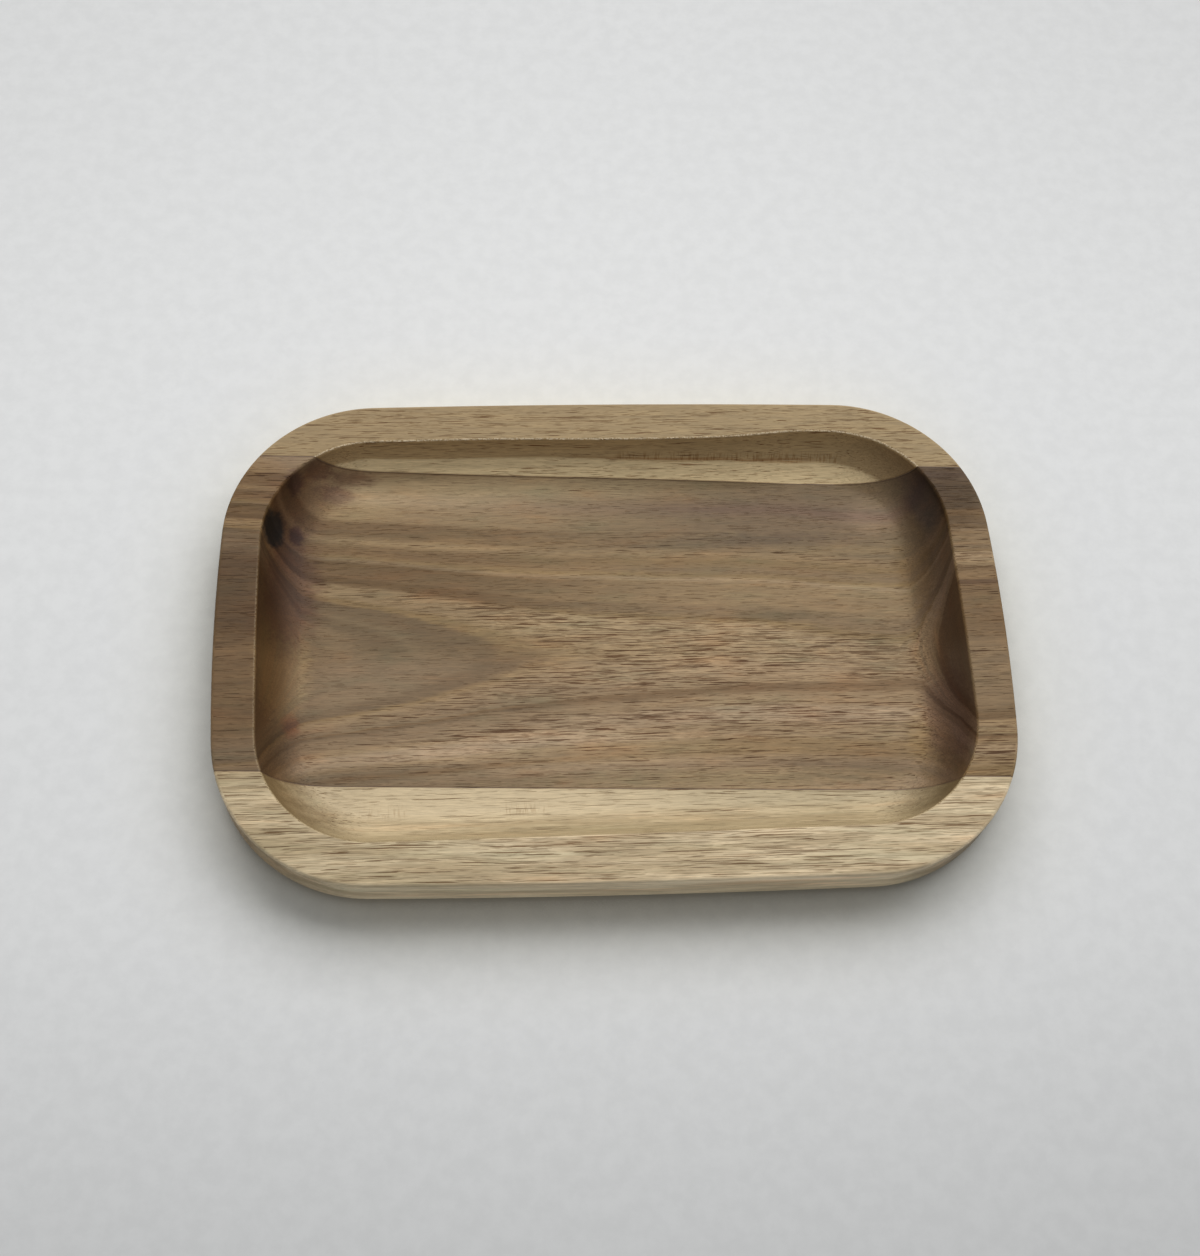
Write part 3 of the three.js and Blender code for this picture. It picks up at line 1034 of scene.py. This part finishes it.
def ring_tones(tree, ring, stops):
    """Colour and pore amount by ring, from pairs of a tone and a pore amount at their rings."""
    share = add(tree, "ShaderNodeMapRange", {
        "Value": ring,
        "From Min": RING_LOW,
        "From Max": RING_HIGH,
    }).outputs[0]
    node = add(tree, "ShaderNodeValToRGB", {"Fac": share})
    ramp = node.color_ramp
    while len(ramp.elements) < len(stops):
        ramp.elements.new(1)
    for element, (place, tone, pores) in zip(ramp.elements, stops):
        element.position = (place - RING_LOW) / (RING_HIGH - RING_LOW)
        element.color = (*tone, pores)
    return node.outputs["Color"], node.outputs["Alpha"]


def board_tones(tree, ring, rings, rightwards):
    """Tone and pore amount by ring, changing from the left end of the board to the right."""
    left, pores = ring_tones(tree, ring, [(place, tone, amount) for place, tone, _, amount in rings])
    right, _ = ring_tones(tree, ring, [(place, tone, amount) for place, _, tone, amount in rings])
    return mixed(tree, rightwards, left, right), pores


def ring_figure(tree, place, spot):
    """Tone by ring on both sides of the pith, how many pores there are, and the rings themselves."""
    rings = placed(tree, GROWTH_RINGS, Place=place)
    rightwards = between(tree, spot["X"], -75, 45)
    rear, rear_pores = board_tones(tree, rings["Ring"], REAR_RINGS, rightwards)
    front, front_pores = board_tones(tree, rings["Ring"], FRONT_RINGS, rightwards)
    rear_side = between(tree, rings["Side"], -5, 5)
    colour = mixed(tree, rear_side, front, rear)
    amount = add(tree, "ShaderNodeMix", {0: rear_side, 2: front_pores, 3: rear_pores}).outputs[0]
    fewer = calc(tree, "MULTIPLY_ADD", between(tree, spot["X"], -80, -30), 0.3, 0.7)
    return colour, product(tree, amount, fewer), rings


def fibre_figure(tree, colour, layers, amount):
    """Fibres of several widths, plainer where there are few pores, and patches of greyer and redder wood."""
    lively = calc(tree, "MULTIPLY_ADD", amount, 0.55, 0.45)
    for length, width, depth in ((40, 1.3, 0.16), (100, 6, 0.08)):
        broad = streaks(tree, layers, length, width)
        colour = shaded(tree, colour, product(tree, broad, lively), depth)
    streak = product(tree, streaks(tree, layers, 16, 0.45), lively)
    colour = shaded(tree, colour, streak, 0.2)
    tint = streaks(tree, layers, 26, 6)
    colour = tinted(tree, between(tree, tint, 0, 1.2), colour, (0.88, 0.97, 0.98))
    colour = tinted(tree, between(tree, tint, 0, -1.2), colour, (1.1, 0.98, 0.9))
    return colour, streak


def floor_and_rim_shades(tree, colour, spot, side):
    """The broad changes of tone over the centre board's floor and rim, with some painted light and shade
    among them.
    """
    # The front half of the floor is paler, and the strip along the rear joint is lightened with painted
    # light against the rear wall's shadow, except at the right
    on_floor = between(tree, spot["Z"], 9, 6.5)
    front_half = product(tree, on_floor, between(tree, side, 2, -6))
    colour = tinted(tree, front_half, colour, (1.16, 1.17, 1.26))
    rear_strip_painted_light = product(tree, on_floor, between(tree, spot["Y"], 50, 57.5), between(tree, spot["X"], 55, 0))
    colour = tinted(tree, rear_strip_painted_light, colour, (1.45, 1.55, 1.65))

    # The ends of the floor are darker; the rim at the rear right is darkened with painted shade where the
    # window lights it, and is pale further forward
    colour = tinted(tree, between(tree, spot["X"], -88, -102), colour, (0.8, 0.76, 0.72))
    colour = tinted(tree, between(tree, spot["X"], 93, 104), colour, (0.76, 0.73, 0.7))
    right_rim_shade_and_tone = mixed(tree, between(tree, spot["Y"], 50, 14), (0.72, 0.68, 0.63), (1.34, 1.37, 1.4))
    rim_tint = mixed(tree, between(tree, spot["X"], *LEFT_TO_RIGHT), (1.02, 1.05, 1.14), right_rim_shade_and_tone)
    return tinted(tree, between(tree, spot["Z"], 14, 18.5), colour, rim_tint)


def stained(tree, colour, grain, patches):
    """A colour with knots, stains and pale patches over it."""
    cloud = noise(tree, grain["Place"], 3.5, 1.6, detail=3, roughness=0.6)[0]
    for centre, reach, softness, stain in patches:
        patch = placed(tree, STAIN_PATCH, Spot=grain["Spot"], Cloud=cloud, Centre=centre, Reach=reach,
                       Softness=softness)
        colour = tinted(tree, patch["Mask"], colour, stain)
    return colour


def centre_stave_wood():
    """Flat-sawn heartwood: rings in long vees on the floor, opening up the end coves."""
    material, tree, shader = new_material("Centre wood")
    grain = placed(tree, BOARD_PLACE, Wander=1.4, Ripple=0.5)
    place = grain["Place"]
    spot = axes(tree, grain["Spot"])
    colour, amount, rings = ring_figure(tree, place, spot)

    # The rim cuts streakier layers with more pores, a few more at the right
    on_rim = between(tree, spot["Z"], 17, 18.5)
    rim_pores = calc(tree, "MULTIPLY_ADD", between(tree, spot["X"], *LEFT_TO_RIGHT), 0.1, 0.5)
    amount = calc(tree, "MAXIMUM", amount, product(tree, on_rim, rim_pores))
    colour = shaded(tree, colour, product(tree, streaks(tree, place, 50, 2), on_rim), 0.14)

    colour, streak = fibre_figure(tree, colour, rings["Layers"], amount)
    colour = floor_and_rim_shades(tree, colour, spot, rings["Side"])
    colour = stained(tree, colour, grain, CENTRE_PATCHES)

    # Pores, and pale flecks of fibre between them
    fine_amount = calc(tree, "MAXIMUM", amount, 0.7)
    pores, fibre = pore_lines(tree, place, (7.5, 0.27), (3.5, 0.22), 0.5, amount, fine_amount)
    colour = tinted(tree, fibre, colour, (1.2, 1.2, 1.2))
    cut_tone = mixed(tree, between(tree, spot["X"], *LEFT_TO_RIGHT), (0.46, 0.39, 0.33), (0.47, 0.43, 0.47))
    # A painted highlight along the lip at the left end, where its rounded edge catches the light
    left_lip_highlight = product(tree, between(tree, spot["X"], -60, -100), between(tree, spot["Y"], 40, 10), 0.25)
    finish_stave(tree, shader, grain, colour, pores, streak, rim_wear=0.08, lip_tear_and_highlight=left_lip_highlight,
                 pore_tone=(0.33, 0.24, 0.19), cut_tone=cut_tone)
    return material


def rear_stave_wood():
    """Tan straight-grained board, ivory in its lower layers."""
    material, tree, shader = new_material("Rear wood")
    grain = placed(tree, BOARD_PLACE, Wander=1.5, Board=300)
    place = grain["Place"]
    spot = axes(tree, grain["Spot"])
    streak = streaks(tree, place, 30, 0.8)
    broad = streaks(tree, place, 120, 4)

    # The change of layer falls from left to right, swells in the middle and has a russet line along it
    level = calc(tree, "MULTIPLY_ADD", spot["X"], 0.025, spot["Z"])
    level = calc(tree, "MULTIPLY_ADD", streak, 0.5, level)
    middle = within(tree, spot["X"], (-60, -10), (62, 36))
    level = calc(tree, "MULTIPLY_ADD", middle, -0.9, level)
    colour = mixed(tree, between(tree, spot["X"], -60, 60), TAN, TAN_AT_RIGHT)
    # Painted light: the steep wall faces away from the window and is lightened to make up for it
    colour = tinted(tree, mark(tree, "wall"), colour, (1.42, 1.36, 1.28))
    colour = mixed(tree, between(tree, level, 11.5, 10.6), colour, REAR_IVORY)
    line = within(tree, level, (10.7, 11.3), (12.2, 11.4))
    redness = within(tree, spot["X"], (-20, 20), (78, 62))
    colour = tinted(tree, product(tree, line, redness, 0.7), colour, (0.72, 0.55, 0.42))
    band = within(tree, level, (10.8, 11.4), (14.2, 12.2))
    start, end = REAR_STOP
    ticks = placed(tree, CUTTER_MARKS, Spot=grain["Spot"], Band=band, Start=start, End=end)
    colour = tinted(tree, ticks["Mask"], colour, (0.76, 0.68, 0.6))
    colour = shaded(tree, colour, streak, 0.14)
    colour = shaded(tree, colour, broad, 0.1)

    amount = calc(tree, "MULTIPLY_ADD", broad, 0.3, 0.65)
    pores, fibre = pore_lines(tree, place, (7, 0.25), (3.5, 0.21), 0.6, amount, amount)
    colour = tinted(tree, fibre, colour, (1.1, 1.1, 1.1))
    # The torn lip is lightened all along, partly as a painted highlight where it turns away from the window
    finish_stave(tree, shader, grain, colour, pores, streak, rim_wear=0.1, lip_tear_and_highlight=1,
                 pore_tone=(0.42, 0.3, 0.23), cut_tone=(0.47, 0.43, 0.41), worn_and_highlight_tone=TORN_FIBRE_HIGHLIGHT)
    return material


def front_stave_wood():
    """Pale straw sapwood with long dark pore lines, ivory at the floor."""
    material, tree, shader = new_material("Front wood")
    grain = placed(tree, BOARD_PLACE, Wander=1.5, Ripple=0.55, Board=700)
    place = grain["Place"]
    spot = axes(tree, grain["Spot"])
    streak = streaks(tree, place, 34, 0.8)
    broad = streaks(tree, place, 40, 3.5)

    plain = calc(tree, "MULTIPLY_ADD", mark(tree, "wall"), -0.75, 1)
    colour = mixed(tree, between(tree, product(tree, broad, plain), -0.5, 0.5), STRAW, IVORY)
    rosy = product(tree, streaks(tree, place, 55, 5), plain)
    colour = tinted(tree, between(tree, rosy, 0, 1), colour, (1.16, 1.05, 0.99))
    colour = tinted(tree, between(tree, rosy, 0, -1), colour, (0.93, 0.98, 0.97))
    colour = shaded(tree, colour, product(tree, streak, plain), 0.2)

    # Ivory on the floor, painted shade darkening the steep wall below the lip, and darker at both ends of
    # the recess
    ivory = mixed(tree, between(tree, spot["X"], -20, 60), IVORY, IVORY_AT_RIGHT)
    colour = mixed(tree, between(tree, spot["Z"], 7.6, 5.8), colour, ivory)
    colour = tinted(tree, mark(tree, "wall"), colour, (0.72, 0.7, 0.62))
    below_lip = between(tree, spot["Z"], 17, 13)
    left_end = within(tree, spot["X"], (-106, -94), (-76, -89))
    colour = tinted(tree, product(tree, below_lip, left_end), colour, (0.88, 0.87, 0.86))
    right_end = between(tree, spot["X"], 79, 93)
    colour = tinted(tree, product(tree, below_lip, right_end), colour, (0.8, 0.79, 0.77))
    # Painted light: the outside of the board, which faces away from the window, is lightened
    colour = tinted(tree, mark(tree, "outside"), colour, (1.2, 1.24, 1.34))
    foot = calc(tree, "POWER", mark(tree, "crease"), 2)
    for start, end in FRONT_STOPS:
        ticks = placed(tree, CUTTER_MARKS, Spot=grain["Spot"], Band=foot, Start=start, End=end)
        colour = tinted(tree, ticks["Mask"], colour, (0.78, 0.73, 0.68))

    on_top = between(tree, spot["Z"], 15, 18)
    right_top = product(tree, on_top, between(tree, spot["X"], -60, -20))
    colour = tinted(tree, right_top, colour, (1.14, 1.14, 1.17))
    amount = calc(tree, "MULTIPLY_ADD", on_top, 0.25, 0.6)
    pores, fibre = pore_lines(tree, place, (13, 0.27), (6, 0.22), 0.6, amount, amount)
    colour = tinted(tree, fibre, colour, (1.12, 1.12, 1.12))
    cut_tone = mixed(tree, between(tree, spot["X"], *LEFT_TO_RIGHT), (0.46, 0.4, 0.32), (0.3, 0.26, 0.2))
    finish_stave(tree, shader, grain, colour, pores, streak, rim_wear=0.15, lip_tear_and_highlight=0.1,
                 pore_tone=(0.36, 0.28, 0.22), cut_tone=cut_tone)
    return material


def cured_glue():
    """Dark amber glue, uneven along the joint."""
    material, tree, shader = new_material("Cured glue")
    spot = placed(tree, BOARD_PLACE)["Spot"]
    cloud = noise(tree, spot, 5, 1, detail=3)[0]
    colour = mixed(tree, between(tree, cloud, 0.35, 0.65), (0.08, 0.048, 0.028), (0.15, 0.095, 0.055))
    wire(tree, shader.inputs["Base Color"], colour)
    shader.inputs["Roughness"].default_value = 0.45
    return material


def paper():
    """The pale matte surface that the tray stands on."""
    material, tree, shader = new_material("Paper")
    spot = placed(tree, BOARD_PLACE)["Spot"]
    cloud = noise(tree, spot, 6, 6, detail=5, roughness=0.6)[0]
    colour = mixed(tree, between(tree, cloud, 0.3, 0.7), (0.778, 0.778, 0.773), (0.82, 0.82, 0.815))

    # Painted falloff of the light: the paper darkens away from the tray, towards the front, the rear and the
    # right
    for axis, near, far, grey in (("Y", -60, -280, 0.74), ("Y", 20, 350, 0.8), ("X", -50, 300, 0.9)):
        away = between(tree, axes(tree, spot)[axis], near, far)
        colour = tinted(tree, away, colour, (grey, grey, grey))

    # Warm light comes back off the wood, and little light gets into the gap round the foot of the tray
    openness = add(tree, "ShaderNodeAmbientOcclusion", {"Distance": 40 * MM}, samples=8).outputs["AO"]
    colour = tinted(tree, between(tree, openness, 1, 0.7), colour, (1.02, 1.01, 0.95))
    colour = tinted(tree, between(tree, openness, 0.62, 0.42), colour, (0.6, 0.57, 0.52))
    wire(tree, shader.inputs["Base Color"], colour)
    shader.inputs["Roughness"].default_value = 0.9
    shader.inputs["Specular IOR Level"].default_value = 0.1
    return material


# The tray

rear_wood = rear_stave_wood()
centre_wood = centre_stave_wood()
front_wood = front_stave_wood()
glue = cured_glue()

panel = routed_panel(centre_wood)
half_film = REARWARDS * GLUE_THICKNESS / 2

rear_stave = sawn_piece("rear_stave_wood", panel, [(REAR_JOINT + half_film, REARWARDS)], rear_wood)
centre_stave = sawn_piece("centre_stave_wood", panel, [
    (REAR_JOINT - half_film, -REARWARDS),
    (FRONT_JOINT + half_film, REARWARDS),
], centre_wood)
front_stave = sawn_piece("front_stave_wood", panel, [(FRONT_JOINT - half_film, -REARWARDS)], front_wood)
rear_film = sawn_piece("rear_glue_film", panel, [
    (REAR_JOINT - half_film, REARWARDS),
    (REAR_JOINT + half_film, -REARWARDS),
], glue)
front_film = sawn_piece("front_glue_film", panel, [
    (FRONT_JOINT - half_film, REARWARDS),
    (FRONT_JOINT + half_film, -REARWARDS),
], glue)
bpy.data.meshes.remove(panel)

finished(rear_stave, "rear_stave")
finished(centre_stave, "centre_stave")
finished(front_stave, "front_stave")
finished(rear_film, "rear_glue_line")
finished(front_film, "front_glue_line")


# Floor, light and camera

def paper_floor():
    mesh = bpy.data.meshes.new("floor")
    around = ((-1, -1), (1, -1), (1, 1), (-1, 1))
    corners = [(along * PAPER_HALF, across * PAPER_HALF, -PAPER_GAP) for along, across in around]
    mesh.from_pydata(corners, [], [(0, 1, 2, 3)])
    mesh.materials.append(paper())
    floor = bpy.data.objects.new("floor", mesh)
    bpy.context.scene.collection.objects.link(floor)


def window_light():
    lamp = bpy.data.lights.new("Window", "AREA")
    lamp.shape = "RECTANGLE"
    lamp.size = WINDOW_WIDTH
    lamp.size_y = WINDOW_HEIGHT
    lamp.energy = WINDOW_POWER
    light = bpy.data.objects.new("Window", lamp)
    light.location = WINDOW_PLACE
    light.rotation_euler = (WINDOW_AIM - WINDOW_PLACE).to_track_quat("-Z", "Y").to_euler()
    bpy.context.scene.collection.objects.link(light)


def room():
    world = bpy.data.worlds.new("Room")
    world.use_nodes = True
    background = world.node_tree.nodes["Background"]
    background.inputs["Color"].default_value = (*ROOM_TINT, 1)
    background.inputs["Strength"].default_value = ROOM_BRIGHTNESS
    bpy.context.scene.world = world


def photograph_camera():
    lens = bpy.data.cameras.new("Camera")
    lens.lens = VIEW_LENS
    lens.sensor_width = SENSOR_WIDTH
    lens.clip_start = VIEW_NEAREST
    back = Vector((
        math.sin(VIEW_AZIMUTH) * math.cos(VIEW_ELEVATION),
        -math.cos(VIEW_AZIMUTH) * math.cos(VIEW_ELEVATION),
        math.sin(VIEW_ELEVATION),
    ))
    level = Vector((math.cos(VIEW_AZIMUTH), math.sin(VIEW_AZIMUTH), 0))
    right = Matrix.Rotation(VIEW_ROLL, 3, back) @ level
    up = back.cross(right)
    camera = bpy.data.objects.new("Camera", lens)
    turn = Matrix((right, up, back)).transposed().to_4x4()
    camera.matrix_world = Matrix.Translation(VIEW_TARGET + back * VIEW_DISTANCE) @ turn
    bpy.context.scene.collection.objects.link(camera)
    bpy.context.scene.camera = camera


paper_floor()
window_light()
room()
photograph_camera()
bpy.context.scene.view_settings.view_transform = "Standard"
